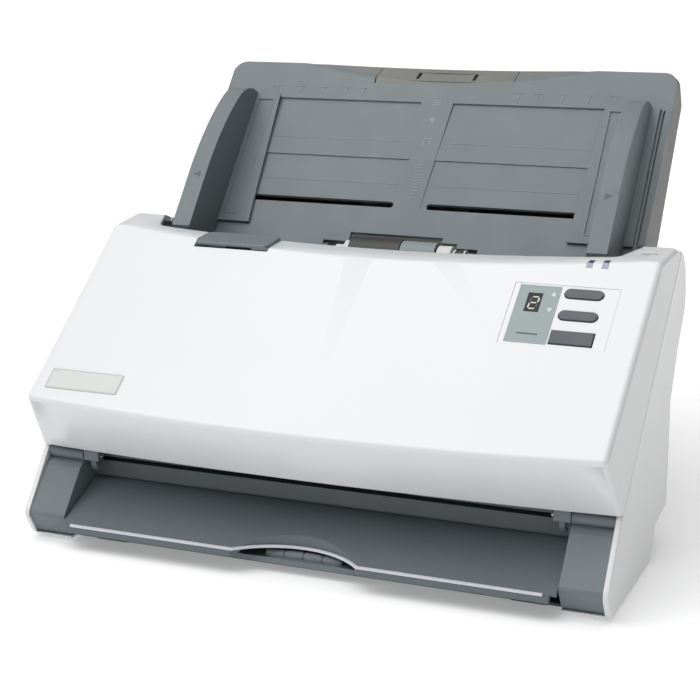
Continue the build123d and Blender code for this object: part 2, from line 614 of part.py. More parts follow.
def release_latch():
    mid_x = (LATCH_X[0] + LATCH_X[1]) / 2
    top = lip_z(mid_x, LATCH_Y[0]) + 0.9
    end = lip_z(mid_x, LATCH_Y[1]) + 1.2
    outline = [(LATCH_Y[0], top - 1.8), (LATCH_Y[0], top - 0.6), (LATCH_Y[0] + 0.8, top),
               (LATCH_Y[1] - 0.5, end), (LATCH_Y[1], end - 0.6), (LATCH_Y[1], end - 1.8)]
    cap = prism(outline, LATCH_X[0], LATCH_X[1])
    cap = rounded(cap, 3.0, along(Vector(0, 0, 1)))
    stem = box(mid_x - 6, mid_x + 6, 90.0, 98.0, 139.0, top - 1.5)
    return cap + stem


def cover_frame():
    """Dark inner face of the cover: throat, upper paper guide and hinge-side sill."""
    run = [(29.0, 40.9), (30.5, 49.6), (51.0, 52.0), on_chute(-246.0, 1.3), on_chute(-147.0, 1.3), (118.3, 136.5),
           (103.5, 145.6)]
    plate = prism(strip(run, 2.2), -CHASSIS_IN + 2.5, CHASSIS_IN - 2.5)
    for cut in roller_windows(-3.0, 14.0, 6.5):
        plate -= cut
    plate -= plane_box(CHUTE, -117, 117, SCAN_S - 12.5, SCAN_S + 12.5, 0.0, 12)
    for x0, x1 in EXIT_SPANS:
        plate -= box(x0, x1, 20.0, 34.0, 38.0, 43.5)
    for x in (-130.0, -60.0, 60.0, 130.0):
        rib = prism([on_chute(-245.0, 3.4), on_chute(-200.0, 3.4), on_chute(-200.0, 18.0),
                     (60.0, 96.0), (28.5, 88.0), (28.5, 60.0), (29.5, 49.5), (51.0, 53.0)], x - 1.0, x + 1.0)
        plate += rib
    for s in (FEED_S, EXIT_S):
        for x in (-53.0, 53.0):
            ear = plane_box(CHUTE, x - 1.2, x + 1.2, s - 4, s + 4, 3.0, PINCH_H + 3.5)
            plate += ear
        for x in (-53.0, 53.0):
            plate -= rod(x - 3, x + 3, *on_chute(s, PINCH_H), 1.5)
    return plate + plane_box(pad_plane(), -18, 16, -3.6, 3.6, 2.0, 11.0)


def cover_links():
    """Brackets that hang the cover on its hinge pins."""
    def one():
        x0, x1 = POST_IN - 9.5, POST_IN - 0.4
        bar = prism([(HINGE_Y - 3.4, HINGE_Z - 2.4), (HINGE_Y + 3.4, HINGE_Z - 2.4), (HINGE_Y + 3.4, HINGE_Z + 2.6),
                     (27.0, 49.4), (27.0, 58.0), (16.0, 58.0), (15.0, 50.0), (HINGE_Y - 3.4, HINGE_Z + 2.6)], x0, x1)
        hook = prism([(16.2, 41.8), (16.6, 38.4), (18.6, 35.6), (21.8, 34.8), (22.4, 36.6), (20.2, 37.6),
                      (19.4, 39.4), (19.6, 41.8)], x0 + 2.6, x0 + 6.0)
        return bar + hook - rod(x0 - 2, x1 + 2, HINGE_Y, HINGE_Z, 1.56)
    return both(one)


def pad_plane():
    """Faces the pick roller across the paper, GAP away from it; its normal points away from the roller."""
    reach = (PICK_R + GAP) * math.sqrt(0.5)
    return Plane(origin=(0, *on_chute(PICK_S - reach, PICK_H + reach)), x_dir=(1, 0, 0),
                 z_dir=(CHUTE.z_dir - CHUTE.y_dir).normalized())


def separation_pad():
    return plane_box(pad_plane(), -14, 12, -3.0, 3.0, 0.3, 1.95)


# ---------------------------------------------------------------- paper chute
STEP_S = -65.0
HEAD_S, HEAD_H = 4.4, -9.0    # ridge along the top of the chute's head
FINGER_SLOTS = (-17.5, 17.5)


def strip_half(s):
    """Half width of the raised strip down the middle of the chute."""
    return 6.2 + 3.6 * (s - SLOT_S) / (TOP_BAND_S - SLOT_S)


def field(side, s0, s1, x_end, depth0, depth1):
    """A shallow sunk field beside the middle strip, deeper at its upper edge."""
    outline = [(side * strip_half(s0), s0), (side * x_end, s0), (side * x_end, s1), (side * strip_half(s1), s1)]
    wedge = prism([(s0, -depth0), (s1, -depth1), (s1, 3), (s0, 3)], -CHUTE_HALF, CHUTE_HALF, CHUTE_SIDE)
    return block(CHUTE.offset(-2), outline, 4) & wedge


def head_point(h):
    """(s, h) of a point on top of the chute's head, which rises back to a ridge and then falls."""
    if h > HEAD_H:
        return HEAD_S * h / HEAD_H, h
    return HEAD_S * (CHUTE_T_TOP + h) / (CHUTE_T_TOP + HEAD_H), h


def head_scoop():
    """The hollow across the chute's head: an arc on its face that leans back to the ridge."""
    sag, half, lean_back = 12.5, 132.0, math.radians(62)
    radius = (half ** 2 + sag ** 2) / (2 * sag)
    lean = Plane(origin=(0, *on_chute(-sag, 0)), x_dir=(1, 0, 0),
                 z_dir=CHUTE.z_dir * math.cos(lean_back) - CHUTE.y_dir * math.sin(lean_back))
    return lean.location * Pos(0, radius, 0) * Cylinder(radius, 80)


def chute_panel():
    plate = prism([(0.0, 0.0), (PANEL_S_FOOT, 0.0), (PANEL_S_FOOT, -2.5), (0.0, -2.5)],
                  -CHUTE_HALF, CHUTE_HALF, CHUTE_SIDE)
    plate = rounded(plate, 8.0, along(CHUTE.z_dir), lambda e: e.center().Z > 200)
    for side in (-1, 1):
        plate -= field(side, STEP_S, TOP_BAND_S, 131.5, 0.15, 1.1)
        plate -= field(side, SLOT_S - 2, STEP_S, 131.5, 0.15, 0.8)
        x0, x1 = sorted((side * 10.0, side * 126.0))
        plate -= CHUTE.location * Pos((x0 + x1) / 2, SLOT_S, -5) * extrude(SlotOverall(x1 - x0, SLOT_W), amount=8)
        g0, g1 = sorted((side * 132.6, side * 133.6))
        plate -= plane_box(CHUTE, g0, g1, -112.0, TOP_BAND_S, -1.8, 2)
    for x0, x1, s1 in PICK_OPENING:
        plate -= plane_box(CHUTE, x0, x1, PANEL_S_FOOT - 2, s1, -6, 3)
    plate -= plane_box(CHUTE, -EXT_HALF - 0.4, EXT_HALF + 0.4, -12.9, 3, -6, 3)
    plate -= plane_box(CHUTE, CHUTE_HALF - 4.0, CHUTE_HALF + 2, PANEL_S_FOOT - 2, SHELL_S_FOOT, -6, 3)
    plate -= plane_box(CHUTE, -CHUTE_HALF - 2, -CHUTE_HALF + 4.0, PANEL_S_FOOT - 2, SHELL_S_FOOT, -6, 3)
    plate += CHUTE.location * Pos(0, SLOT_S, -5.0) * Cylinder(2.0, 5.4)
    return plate - head_scoop()


def chute_shell():
    outer = [head_point(-2.6), (SHELL_S_FOOT, -2.6), (SHELL_S_FOOT, -CHUTE_T_FOOT + 9),
             (SHELL_S_FOOT + 12, -CHUTE_T_FOOT), (0.0, -CHUTE_T_TOP), head_point(HEAD_H)]
    inner = [(-15.4, 2.0), (SHELL_S_FOOT + WALL, 2.0), (SHELL_S_FOOT + WALL, -CHUTE_T_FOOT + 10),
             (SHELL_S_FOOT + 13, -CHUTE_T_FOOT + WALL), (-WALL, -CHUTE_T_TOP + WALL), (-WALL, -6.9), (-15.4, 0.0)]
    shell = prism(outer, -CHUTE_HALF, CHUTE_HALF, CHUTE_SIDE)
    shell = rounded(shell, 8.0, lambda e: e.geom_type == GeomType.LINE, lambda e: abs(e.center().X) > 136,
                    lambda e: CHUTE.to_local_coords(e.center()).Y > -1 and e.length < 20)
    shell -= prism(inner, -CHUTE_HALF + WALL, CHUTE_HALF - WALL, CHUTE_SIDE)
    shell -= head_scoop()
    shell -= plane_box(CHUTE, -EXT_HALF - 0.4, EXT_HALF + 0.4, -12.9, 8, -13.0, 3)
    for x in FINGER_SLOTS:
        shell -= plane_box(CHUTE, x - 1.6, x + 1.6, -5.5, 8, -CHUTE_T_TOP - 1, -12)
    for x in TONGUES:
        shell += plane_box(CHUTE, x - 7, x + 7, SHELL_S_FOOT - 24, SHELL_S_FOOT + 2.0, -7.0, -3.4)
    for x in (-34.0, 34.0):
        shell += plane_box(CHUTE, x - 1.0, x + 1.0, -96.0, -4.0, -18.6, -14.4)
    return shell


TONGUES = (-75.0, 75.0)
PICK_OPENING = [(-30.8, 24.5, -115.5), (24.0, 33.6, -118.7), (-46.0, 46.0, -121.5)]


def chute_sockets():
    """Two pockets in the base that take the chute's tongues."""
    made = []
    for x in TONGUES:
        pocket = plane_box(CHUTE, x - 9.5, x + 9.5, SHELL_S_FOOT - 27, SHELL_S_FOOT - 18.6, -9.4, -1.6)
        pocket -= plane_box(CHUTE, x - 7.4, x + 7.4, SHELL_S_FOOT - 24.4, SHELL_S_FOOT, -7.4, -3.0)
        made.append(pocket)
    return made


def guide_body(side):
    """A paper guide: wall, foot, neck through the slot and rack bar behind the panel."""
    def x(a, b):
        return sorted((side * a, side * b))
    brow = [(-24.0, GAP + 0.1), (-26.0, 8.5), (-32.0, 16.5), (-44.0, 22.5), (-62.0, 27.2), (-80.0, 29.8),
            (-100.0, GUIDE_H)]
    rest = [(-135.5, GUIDE_H - 0.5), (-138.0, 26.5), (-121.0, GAP + 0.1)]
    outline = make_face([Spline(*brow), Polyline(brow[-1], *rest, brow[0])])
    wall = extrude(CHUTE_SIDE.offset(x(GUIDE_IN, GUIDE_IN + GUIDE_T)[0]) * outline, amount=GUIDE_T, dir=(1, 0, 0))
    draft = [(GUIDE_IN, GUIDE_H + 1), (GUIDE_IN + 4.0, 0.0), (GUIDE_IN - 8, 0.0), (GUIDE_IN - 8, GUIDE_H + 1)]
    keel = Plane(origin=(0, *CHUTE_TOP), x_dir=(1, 0, 0), z_dir=CHUTE.y_dir * -1)
    wall -= block(keel, [(side * a, -b) for a, b in draft], 150)
    corners = [(95.0, -114.0), (100.0, -24.5), (131.0, -24.5), (131.0, -114.0)]
    foot = block(CHUTE.offset(GAP + 0.1), [(side * a, s) for a, s in corners], FOOT_T)
    body = wall + foot
    body -= plane_box(CHUTE, *x(103.0, 113.0), -109.0, -28.0, GAP + 1.1, GAP + 3)
    body += plane_box(CHUTE, *x(104.0, 117.0), SLOT_S - 1.5, SLOT_S + 1.5, -7.6, GAP + 1)
    return body


def rack_bar(side):
    """The straight rack behind the panel, above the pinion for the left guide and below for the right."""
    pitch = math.pi * RACK_MODULE
    middle = PINION_TEETH * RACK_MODULE / 2
    up = 1 if side < 0 else -1
    x0, x1 = sorted((-side * 12.0, side * 117.0))
    bar = plane_box(CHUTE, x0, x1, *sorted((SLOT_S + up * (middle + 1.1), SLOT_S + up * (middle + 4.5))), -7.6, -4.4)
    count = int((x1 - x0 - 6) / pitch)
    points = []
    first = (math.floor((x0 + 3) / pitch) + 0.5) * pitch
    for i in range(count):
        centre = first + i * pitch
        points += [(centre - 0.36 * pitch, middle + 1.1), (centre - 0.13 * pitch, middle - 0.75),
                   (centre + 0.13 * pitch, middle - 0.75), (centre + 0.36 * pitch, middle + 1.1)]
    points += [(points[-1][0], middle + 2), (points[0][0], middle + 2)]
    teeth = block(CHUTE.offset(-7.6), [(a, SLOT_S + up * b) for a, b in points], 3.2)
    link = plane_box(CHUTE, *sorted((side * 104.0, side * 117.0)),
                     *sorted((SLOT_S - up * 1.5, SLOT_S + up * (middle + 4.5))), -7.6, -4.4)
    return bar + teeth + link


def guide_pinion():
    outline = [(x, SLOT_S + s) for x, s in gear_outline(PINION_TEETH, RACK_MODULE)]
    wheel = block(CHUTE.offset(-7.6), outline, 3.2)
    return wheel - CHUTE.location * Pos(0, SLOT_S, -6) * Cylinder(2.06, 10)


def chute_extension():
    plate = plane_box(CHUTE, -32.0, 32.0, -100.0, -8.0, -12.6, -10.4)
    head = prism([(-12.5, -0.9), (-12.5, -12.6), head_point(-12.6), head_point(HEAD_H), head_point(-0.9)],
                 -EXT_HALF, EXT_HALF, CHUTE_SIDE)
    body = plate + head - head_scoop()
    for x in FINGER_SLOTS:
        body -= plane_box(CHUTE, x - 1.0, x + 1.0, -7.5, -0.6, -14, 2)
    for x in (-20.0, 0.0, 20.0):
        body -= plane_box(CHUTE, x - 4, x + 4, -90.0, -20.0, -13, -9)
    return body


# ---------------------------------------------------------------- output stacker
def output_extension():
    """Flat drawer under the tray, with a ribbed barrel at the front to pull it out by."""
    plate = box(-STACKER_HALF, STACKER_HALF, STACKER_FRONT, 82.0, *STACKER_Z)
    plate = rounded(plate, 4.0, along(Vector(0, 0, 1)), lambda e: e.center().Y < 2)
    plate -= box(-30, 30, 30.0, 74.0, STACKER_Z[0] - 1, STACKER_Z[0] + 1.2)
    plate += rod(-GRIP_HALF, GRIP_HALF, GRIP_Y, GRIP_Z, GRIP_R - 0.5)
    step = 2 * GRIP_HALF / 4
    for i in range(4):
        x = -GRIP_HALF + i * step
        plate += rod(x + 0.5, x + step - 0.5, GRIP_Y, GRIP_Z, GRIP_R)
    return plate


def power_button():
    cap = Pos(POWER_X, 117.2, POWER_Z) * Rot(90, 0, 0) * Cylinder(POWER_R, 7.6)
    cap = fillet(cap.faces().sort_by(Axis.Y)[-1].edges(), 0.8)
    return cap + Pos(POWER_X, 113.6, POWER_Z) * Rot(90, 0, 0) * Cylinder(POWER_R + 1.4, 1.2)


# ---------------------------------------------------------------- all the pieces
def build():
    parts = {}
    parts["side_panel_right"], parts["side_panel_left"] = both(side_panel)
    parts["rear_cover"] = rear_cover()
    parts["base_pan"] = base_pan()
    parts["rubber_feet"] = rubber_feet()
    parts["pan_screws"] = pan_screws()
    parts["front_post_right"], parts["front_post_left"] = both(front_post)
    parts["hinge_pins"] = list(hinge_pins())
    parts["output_tray"] = output_tray()
    parts["tray_trim"] = tray_trim()
    parts["lower_guide"] = lower_guide()
    parts["chassis_plate_right"], parts["chassis_plate_left"] = chassis_plates()
    parts["shaft_bushes"] = shaft_bushes()
    parts["lower_scan_unit"], parts["lower_scan_glass"] = scan_unit(-1)
    parts["main_board"] = main_board()
    parts["usb_port"] = port_shell("usb", 119.3, "square")
    parts["power_jack"] = port_shell("power", 119.3, "round")
    parts["drive_motor"] = drive_motor()
    feed, out = on_chute(FEED_S, ROLLER_H), on_chute(EXIT_S, ROLLER_H)
    pick = on_chute(PICK_S, PICK_H)
    parts["drive_belt"] = belt([(*feed, PULLEY_R), (*out, PULLEY_R), (MOTOR_Y, MOTOR_Z, MOTOR_PULLEY_R)],
                               PULLEY_X[0] + 0.6, PULLEY_X[1] - 0.6)
    parts["pick_belt"] = belt([(*feed, PICK_PULLEY_R), (*pick, PICK_PULLEY_R)],
                              PICK_PULLEY_X[0] + 0.5, PICK_PULLEY_X[1] - 0.5)
    parts["feed_shaft"], parts["feed_rollers"] = roller_set(FEED_S, FEED_SPANS)
    parts["feed_shaft"].append(pulley(*PICK_PULLEY_X, *feed, PICK_PULLEY_R, SHAFT_R + 0.02))
    parts["exit_shaft"], parts["exit_rollers"] = roller_set(EXIT_S, EXIT_SPANS)
    parts["pick_shaft"], parts["pick_roller"], parts["pick_hub"], parts["pick_pulley"] = pick_set()
    parts["motor_pulley"] = motor_pulley()
    parts["power_button"] = power_button()

    parts["front_cover"] = front_cover()
    parts["cover_frame"] = cover_frame()
    parts["cover_links"] = list(cover_links())
    parts["upper_scan_unit"], parts["upper_scan_glass"] = scan_unit(1)
    parts["separation_pad"] = separation_pad()
    parts["pinch_shafts"] = pinch_shafts()
    parts["feed_pinch_rollers"] = pinch_rollers(FEED_S, FEED_SPANS)
    parts["exit_pinch_rollers"] = pinch_rollers(EXIT_S, EXIT_SPANS)
    parts["control_bezel"] = control_bezel()
    parts["display_label"] = display_label()
    parts["digit_display"] = digit_display()
    parts["button_board"] = button_board()
    parts["led_lenses"] = led_lenses()
    parts["name_plate"] = name_plate()
    for name in BUTTONS:
        parts[name] = button(name)
    parts["release_latch"] = release_latch()

    parts["chute_panel"] = chute_panel()
    parts["chute_shell"] = chute_shell()
    parts["guide_pinion"] = guide_pinion()
    parts["guide_left"] = guide_body(-1) + rack_bar(-1)
    parts["guide_right"] = guide_body(1) + rack_bar(1)
    parts["chute_extension"] = chute_extension()
    parts["output_extension"] = output_extension()
    return parts


def save(name, shape):
    solids = shape if isinstance(shape, (list, tuple)) else [shape]
    solids = [s for piece in solids for s in piece.solids()]
    whole = Compound(children=[Pos(0, -Y_MID, 0) * s for s in solids])
    export_step(whole, f"parts/{name}.step")


if __name__ == "__main__":
    os.makedirs("parts", exist_ok=True)
    for part_name, part_shape in build().items():
        save(part_name, part_shape)
    print("origin is at Y", round(Y_MID, 4))
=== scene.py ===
"""Looks for the sheet fed document scanner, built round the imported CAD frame.

Metres, in the frame's own axes: X to the user's right, Y to the back, Z up. Marks are drawn in
millimetres, on planes of their own that are placed from the frame's nodes.
"""
import bpy
import bmesh
import json
import math
from mathutils import Matrix, Vector


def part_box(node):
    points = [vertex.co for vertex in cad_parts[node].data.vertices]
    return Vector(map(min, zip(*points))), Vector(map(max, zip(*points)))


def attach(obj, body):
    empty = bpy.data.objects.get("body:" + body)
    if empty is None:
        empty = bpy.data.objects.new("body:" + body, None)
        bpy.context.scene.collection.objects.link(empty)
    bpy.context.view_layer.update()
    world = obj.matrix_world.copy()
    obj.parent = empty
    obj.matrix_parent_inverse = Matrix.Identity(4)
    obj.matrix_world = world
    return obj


MM = 0.001

# Camera: an orbit round the point it aims at
AIM = Vector((0.0125, -0.0755, 0.1116))
DISTANCE = 0.8458
AZIMUTH, ELEVATION, ROLL = 22.335, 13.708, -0.094
FOCAL, SENSOR = 85.91, 36.0
NEAR, FAR = 0.05, 30.0

# Studio
LIGHT_AIM = Vector((0, 0, 0.1))
FLOOR_R = 40.0
FLOOR_GLOW = (0.28, 0.62)     # the floor's own light, under the scanner and far off
GLOW_REACH = (0.25, 1.3)      # distances between which that light grows
SKY = 1.25                    # strength of the sky on the left
SKY_RIGHT = 0.35              # share of that strength left on the right
SKY_TURN = (0.1, 0.7)         # how far right the sky starts and ends growing dimmer
SKY_BANDS = [(0.0, 0.8), (0.06, 0.8), (0.12, 0.14), (0.45, 0.28), (1.0, 0.9)]   # height, brightness

# Sizes of the CAD that the marks follow
PANEL_LENGTH = 129.0 * MM
GUIDE_H = 30.8                # height of a paper guide above the chute, in millimetres
HEAD_SAG = 12.5 * MM          # how far the hollow in the chute's head dips in the middle
HEAD_LEAN = math.radians(62)  # turn of that hollow's normal, from up the chute to straight out

# Planes of the marks above the middles of their nodes, in millimetres
DIGIT_LIFT, LABEL_LIFT, PLATE_LIFT = 0.2, 0.375, 0.16

# Where each kind of mark starts and ends above its plane, in millimetres
LIT_BAR, DARK_BAR = (0.0, 0.06), (0.0, 0.04)
PRINT = (0.0, 0.05)
LABEL_RIM, PLATE_RIM = (0.0, 0.08), (0.0, 0.12)
TICK, STRIP_PRINT = (-0.05, 0.22), (-0.05, 0.14)
FIELD_LINE = (-0.75, -0.3)
HANDLE_RIM = (-0.2, 0.32)
GUIDE_RIM, GUIDE_ARROW = (1.2, 2.15), (-0.2, 0.15)

# Radii on edges
WELD = 0.000002               # points closer than this are joined before an edge is rounded
PLAIN_EDGE, FINE_EDGE = 0.0007, 0.0004
MARK_EDGE, FILM_EDGE = 0.0001, 0.00005

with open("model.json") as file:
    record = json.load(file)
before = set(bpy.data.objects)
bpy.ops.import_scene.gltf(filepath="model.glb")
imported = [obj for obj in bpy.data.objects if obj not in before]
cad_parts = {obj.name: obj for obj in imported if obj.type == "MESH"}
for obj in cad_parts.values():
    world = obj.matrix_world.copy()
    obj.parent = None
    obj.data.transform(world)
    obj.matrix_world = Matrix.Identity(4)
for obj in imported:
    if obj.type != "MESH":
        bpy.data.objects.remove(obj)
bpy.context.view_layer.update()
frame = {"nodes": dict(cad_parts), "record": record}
nodes = frame["nodes"]


# ---------------------------------------------------------------- materials
class Look:
    """A node material with small helpers."""

    def __init__(self, name, colour, roughness, **sockets):
        self.material = bpy.data.materials.new(name)
        self.material.use_nodes = True
        self.tree = self.material.node_tree
        self.shader = self.tree.nodes["Principled BSDF"]
        self.shader.inputs["Base Color"].default_value = (*colour, 1.0)
        self.shader.inputs["Roughness"].default_value = roughness
        for key, value in sockets.items():
            self.shader.inputs[key.replace("_", " ")].default_value = value

    def add(self, kind, **values):
        node = self.tree.nodes.new(kind)
        for key, value in values.items():
            node.inputs[key.replace("_", " ")].default_value = value
        return node

    def link(self, source, target):
        self.tree.links.new(source, target)

    def noise(self, scale, detail=4.0, roughness=0.5):
        place = self.add("ShaderNodeTexCoord")
        node = self.add("ShaderNodeTexNoise", Scale=scale, Detail=detail, Roughness=roughness)
        self.link(place.outputs["Object"], node.inputs["Vector"])
        return node.outputs["Fac"]

    def spread(self, value, low, high, start=0.3, end=0.7):
        """Carries a texture's middle range onto low to high."""
        node = self.add("ShaderNodeMapRange", From_Min=start, From_Max=end, To_Min=low, To_Max=high)
        self.link(value, node.inputs["Value"])
        return node.outputs["Result"]

    def tint(self, value, dark, light):
        mix = self.tree.nodes.new("ShaderNodeMix")
        mix.data_type = "RGBA"
        mix.inputs["A"].default_value = (*dark, 1.0)
        mix.inputs["B"].default_value = (*light, 1.0)
        self.link(value, mix.inputs["Factor"])
        self.link(mix.outputs["Result"], self.shader.inputs["Base Color"])

    def bump(self, value, depth, strength=1.0):
        node = self.add("ShaderNodeBump", Strength=strength, Distance=depth)
        self.link(value, node.inputs["Height"])
        self.link(node.outputs["Normal"], self.shader.inputs["Normal"])

    def rough(self, value):
        self.link(value, self.shader.inputs["Roughness"])


def shade(colour, factor):
    return tuple(min(1.0, c * factor) for c in colour)


def moulded(name, colour, roughness, grain, depth, drift=0.04, **sockets):
    """Moulded plastic: a fine spark-eroded grain with slow drifts of tone and sheen."""
    look = Look(name, colour, roughness, **sockets)
    slow = look.noise(9.0, 3.0)
    look.tint(look.spread(slow, 0.0, 1.0), shade(colour, 1 - drift), shade(colour, 1 + drift))
    look.rough(look.spread(look.noise(60.0, 4.0), roughness - 0.04, roughness + 0.05))
    look.bump(look.noise(grain, 3.0, 0.6), depth)
    return look.material


def glossy_shell(name, colour):
    """High-gloss shell plastic: an even sheen under a faint, slow drift of tone."""
    look = Look(name, colour, 0.32, Coat_Weight=0.2, Coat_Roughness=0.12)
    look.tint(look.spread(look.noise(4.0, 1.0), 0.0, 1.0), shade(colour, 0.995), shade(colour, 1.005))
    look.rough(look.spread(look.noise(25.0, 1.0), 0.3, 0.34))
    return look.material


def metal(name, colour, roughness):
    look = Look(name, colour, roughness, Metallic=1.0)
    streaks = look.noise(400.0, 2.0)
    look.rough(look.spread(streaks, roughness - 0.06, roughness + 0.08))
    look.tint(look.spread(look.noise(30.0), 0.0, 1.0), shade(colour, 0.9), shade(colour, 1.05))
    look.bump(streaks, 0.00002)
    return look.material


WHITE = glossy_shell("white_shell", (0.69, 0.695, 0.705))
GREY = moulded("grey_moulding", (0.143, 0.167, 0.18), 0.52, 2600.0, 0.00003, 0.05)
# A darker copy of the grey moulding for the lower guide and cover frame deep in the bay: painted shade of the
# bay
BAY_PAINTED_SHADE = moulded("bay_moulding_painted_shade", (0.115, 0.132, 0.142), 0.55, 2600.0, 0.00003, 0.05)
WARM = moulded("chute_back_moulding", (0.158, 0.163, 0.152), 0.52, 2600.0, 0.00003, 0.05)
# A darker copy of the grey moulding for the output tray: painted shadow on the tray
TRAY_PAINTED_SHADE = moulded("tray_moulding_painted_shade", (0.11, 0.13, 0.142), 0.52, 2600.0, 0.00003, 0.05)
DARK = moulded("inner_moulding", (0.05, 0.056, 0.062), 0.6, 2200.0, 0.00003, 0.06)
TRIM = moulded("pale_trim", (0.62, 0.63, 0.68), 0.35, 3000.0, 0.00001, 0.02)
LABEL = moulded("label_film", (0.27, 0.32, 0.325), 0.45, 5000.0, 0.000006, 0.02)
BUTTON = moulded("button_grey", (0.052, 0.059, 0.067), 0.38, 3200.0, 0.00001, 0.03)
BLACK = moulded("display_black", (0.006, 0.007, 0.008), 0.35, 5000.0, 0.000001, 0.02, Specular_IOR_Level=0.25)
LENS = moulded("lens_lilac", (0.3, 0.31, 0.42), 0.25, 4000.0, 0.000003, 0.03)
RUBBER = moulded("rubber_black", (0.016, 0.015, 0.014), 0.42, 1800.0, 0.00004, 0.1)
SOFT_GREY = moulded("rubber_grey", (0.09, 0.092, 0.095), 0.65, 1800.0, 0.00006, 0.06)
NYLON = moulded("white_nylon", (0.62, 0.62, 0.6), 0.42, 2400.0, 0.00002, 0.03)
HUB = moulded("hub_grey", (0.2, 0.24, 0.25), 0.4, 2400.0, 0.00002, 0.03)
BOARD = moulded("circuit_board", (0.02, 0.1, 0.045), 0.35, 900.0, 0.00003, 0.12)
STEEL = metal("bright_steel", (0.62, 0.63, 0.65), 0.28)
PLATED = metal("plated_steel", (0.42, 0.42, 0.44), 0.36)
GLASS = Look("sensor_glass", (0.05, 0.07, 0.08), 0.05, Transmission_Weight=0.35).material

FINISH = {
    "shell_white": WHITE, "grey_plastic": GREY, "inner_grey": DARK, "trim_white": TRIM,
    "label_green": LABEL, "button_grey": BUTTON, "display_black": BLACK, "lens_lilac": LENS,
    "rubber_black": RUBBER, "rubber_grey": SOFT_GREY, "hub_grey": HUB, "nylon_white": NYLON,
    "steel": STEEL, "motor_steel": PLATED, "glass": GLASS, "board_green": BOARD, "port_steel": PLATED,
}

DIGIT = Look("digit_lit", (0.55, 0.58, 0.5), 0.4).material
DIGIT_DARK = Look("digit_dark", (0.03, 0.032, 0.034), 0.3).material
MARK = Look("white_print", (0.55, 0.62, 0.6), 0.5).material
MARK_DARK = Look("dark_print", (0.04, 0.045, 0.045), 0.5).material
LABEL_EDGE = moulded("label_edge", (0.33, 0.38, 0.38), 0.4, 5000.0, 0.000004, 0.02)
PLATE = moulded("plate_film", (0.58, 0.59, 0.58), 0.32, 5000.0, 0.000002, 0.02)
PLATE_EDGE = moulded("plate_edge", (0.46, 0.47, 0.46), 0.3, 5000.0, 0.000002, 0.02)
# A lighter copy of the grey moulding for the raised ticks, hairlines and guide rims: painted highlight where
# their edges catch the light
GREY_RIDGE_HIGHLIGHT = moulded("grey_emboss_highlight", (0.175, 0.2, 0.215), 0.45, 2600.0, 0.00002, 0.03)
ARROW_MARK = moulded("arrow_emboss", (0.085, 0.095, 0.1), 0.5, 2600.0, 0.00002, 0.03)
STRIP_MARK = moulded("strip_print", (0.22, 0.25, 0.265), 0.5, 3000.0, 0.00001, 0.02)

# Nodes whose look isn't their slot's. The lower guide, the cover frame and the output tray carry painted
# shade.
OWN_FINISH = {"lower_guide": BAY_PAINTED_SHADE, "cover_frame": BAY_PAINTED_SHADE, "output_tray": TRAY_PAINTED_SHADE, "chute_shell": WARM,
              "chute_extension": WARM, "name_plate": PLATE}

# Moulded nodes with rounded edges
SOFT_NODES = ("front_cover", "side_panel_left", "side_panel_right", "rear_cover", "front_post_left",
              "front_post_right", "output_tray", "guide_left", "guide_right", "chute_shell",
              "chute_extension", "base_pan", "rubber_feet", "cover_links")
FINE_NODES = ("control_bezel", "chute_panel", "release_latch", "output_extension")


# ---------------------------------------------------------------- looks on the CAD nodes
def paint(obj, material):
    obj.data.materials.clear()
    obj.data.materials.append(material)


def paint_nodes():
    """Gives each node its slot's look, or its own."""
    for part in frame["record"]["subparts"]:
        paint(nodes[part["node"]], FINISH[part["material_slot"]])
    for name, look in OWN_FINISH.items():
        paint(nodes[name], look)


def soften(obj, width):
    """Small moulded radii on a CAD node's edges."""
    weld = obj.modifiers.new("weld", "WELD")
    weld.merge_threshold = WELD
    bevel = obj.modifiers.new("edge", "BEVEL")
    bevel.width = width
    bevel.segments = 2
    bevel.limit_method = "ANGLE"
    bevel.angle_limit = math.radians(35)
    bevel.use_clamp_overlap = True
    bevel.harden_normals = True


def soften_nodes():
    for name in SOFT_NODES:
        soften(nodes[name], PLAIN_EDGE)
    for name in FINE_NODES:
        soften(nodes[name], FINE_EDGE)


# ---------------------------------------------------------------- planes to build on
def middle(node):
    low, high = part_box(node)
    return (Vector(low) + Vector(high)) / 2


def plane(origin, normal):
    """A frame with X to the right, Y up the surface and Z out of it."""
    z = Vector(normal).normalized()
    x = Vector((1, 0, 0))
    y = z.cross(x)
    turn = Matrix((x, y, z)).transposed().to_4x4()
    return Matrix.Translation(origin) @ turn


MOVES = {joint["name"]: joint for joint in frame["record"]["behaviour"]["joints"]}
SLOPE_OUT = -Vector(MOVES["up_press"]["axis"])
UP_CHUTE = Vector(MOVES["chute_lift_off"]["axis"])
CHUTE_OUT = Vector((1, 0, 0)).cross(UP_CHUTE)
HEAD_OUT = CHUTE_OUT * math.sin(HEAD_LEAN) + UP_CHUTE * math.cos(HEAD_LEAN)

# Each plane is named after the surface it lies on. The chute's starts at the panel's head.
panel_low, panel_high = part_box("chute_panel")
CHUTE = plane((0, panel_low[1] + PANEL_LENGTH * UP_CHUTE.y, panel_high[2]), CHUTE_OUT)
HEAD = plane(CHUTE @ Vector((0, -HEAD_SAG, 0)), HEAD_OUT)
DIGIT_PLANE = plane(middle("digit_display") + SLOPE_OUT * DIGIT_LIFT * MM, SLOPE_OUT)
LABEL_PLANE = plane(middle("display_label") + SLOPE_OUT * LABEL_LIFT * MM, SLOPE_OUT)
PLATE_PLANE = plane(middle("name_plate") + SLOPE_OUT * PLATE_LIFT * MM, SLOPE_OUT)


